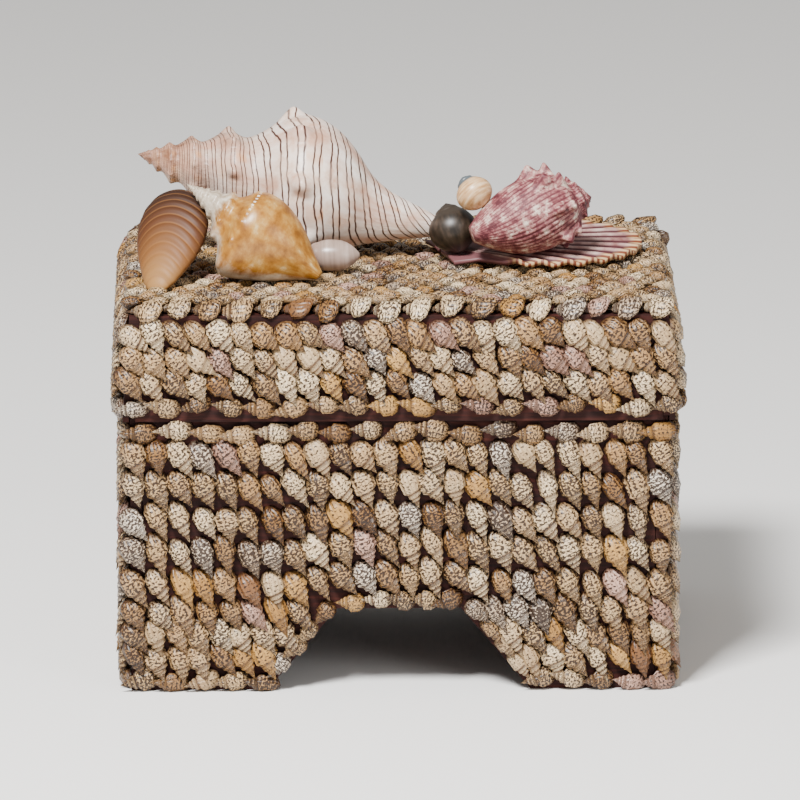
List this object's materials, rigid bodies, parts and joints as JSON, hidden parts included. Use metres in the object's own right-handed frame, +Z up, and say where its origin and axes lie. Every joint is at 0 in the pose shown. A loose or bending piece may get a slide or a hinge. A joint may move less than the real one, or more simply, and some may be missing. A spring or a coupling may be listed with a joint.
{
  "type": "shell box",
  "caption": "Wooden keepsake box covered in rows of little sea shells, with a lift-off lid carrying a group of larger shells and an arch cut in the foot of its front and back.",
  "frame": {"origin": "on the ground, under the middle of the box", "axes": "+X to the right seen from the front, +Y to the back, +Z up; the front faces -Y"},
  "size_m": [0.249, 0.184, 0.2349],
  "materials": {
    "stained_wood": "dark red-brown stain, satin",
    "little_shells": "small mottled cream and brown sea shells, lightly polished",
    "whelk_shell": "natural ivory shell with thin brown spiral lines",
    "conch_shell": "natural amber shell with pale patches, polished",
    "clam_shell": "natural brown shell with paler growth rings, smooth",
    "drupe_shell": "natural rose shell with maroon cords, chalky",
    "scallop_shell": "natural russet ribbed shell",
    "moon_shell": "natural dark olive-brown shell, smooth",
    "turban_shell": "natural buff shell with a grey spire",
    "pebble_shell": "natural pale grey-pink shell, polished"
  },
  "bodies": {
    "root": {"chest_front_board": "stained_wood", "chest_back_board": "stained_wood", "chest_left_board": "stained_wood", "chest_right_board": "stained_wood", "chest_floor_board": "stained_wood", "lid_front_board": "stained_wood", "lid_back_board": "stained_wood", "lid_left_board": "stained_wood", "lid_right_board": "stained_wood", "lid_top_board": "stained_wood", "chest_shells_front": "little_shells", "chest_shells_back": "little_shells", "chest_shells_left": "little_shells", "chest_shells_right": "little_shells", "lid_shells_front": "little_shells", "lid_shells_back": "little_shells", "lid_shells_left": "little_shells", "lid_shells_right": "little_shells", "lid_shells_top": "little_shells", "striped_whelk": "whelk_shell", "amber_conch": "conch_shell", "brown_clam": "clam_shell", "pale_pebble_shell": "pebble_shell", "dark_moon_snail": "moon_shell", "buff_turban": "turban_shell", "rose_drupe": "drupe_shell", "scallop": "scallop_shell"}
  },
  "joints": []
}
